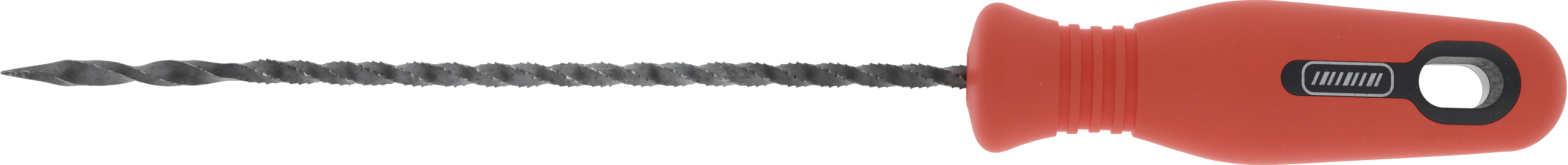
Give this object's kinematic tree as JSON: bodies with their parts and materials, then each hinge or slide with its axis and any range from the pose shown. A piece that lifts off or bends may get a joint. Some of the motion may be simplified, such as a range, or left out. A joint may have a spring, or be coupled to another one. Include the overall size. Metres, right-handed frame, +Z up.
{
  "type": "spiral tyre rasp",
  "caption": "Twisted steel hole rasp with notched edges and a spear tip, in a screwdriver-type two-material handle with a hanging hole.",
  "frame": {"origin": "on the surface that the tool lies on, below the middle of its box", "axes": "+X along the handle from the rasp's tip to the butt, +Z up out of one face of the keyhole panel, +Y across the tool"},
  "size_m": [0.2797, 0.0296, 0.0258],
  "materials": {
    "blade_steel": "dark hardened steel with forging scale, bright burrs on the teeth",
    "core_plastic": "hard moulded plastic, satin, near black",
    "grip_rubber": "soft-touch thermoplastic elastomer, fine matte grain, red"
  },
  "bodies": {
    "root": {"rasp_blade": "blade_steel", "handle_core": "core_plastic", "grip_sleeve": "grip_rubber"}
  },
  "joints": []
}
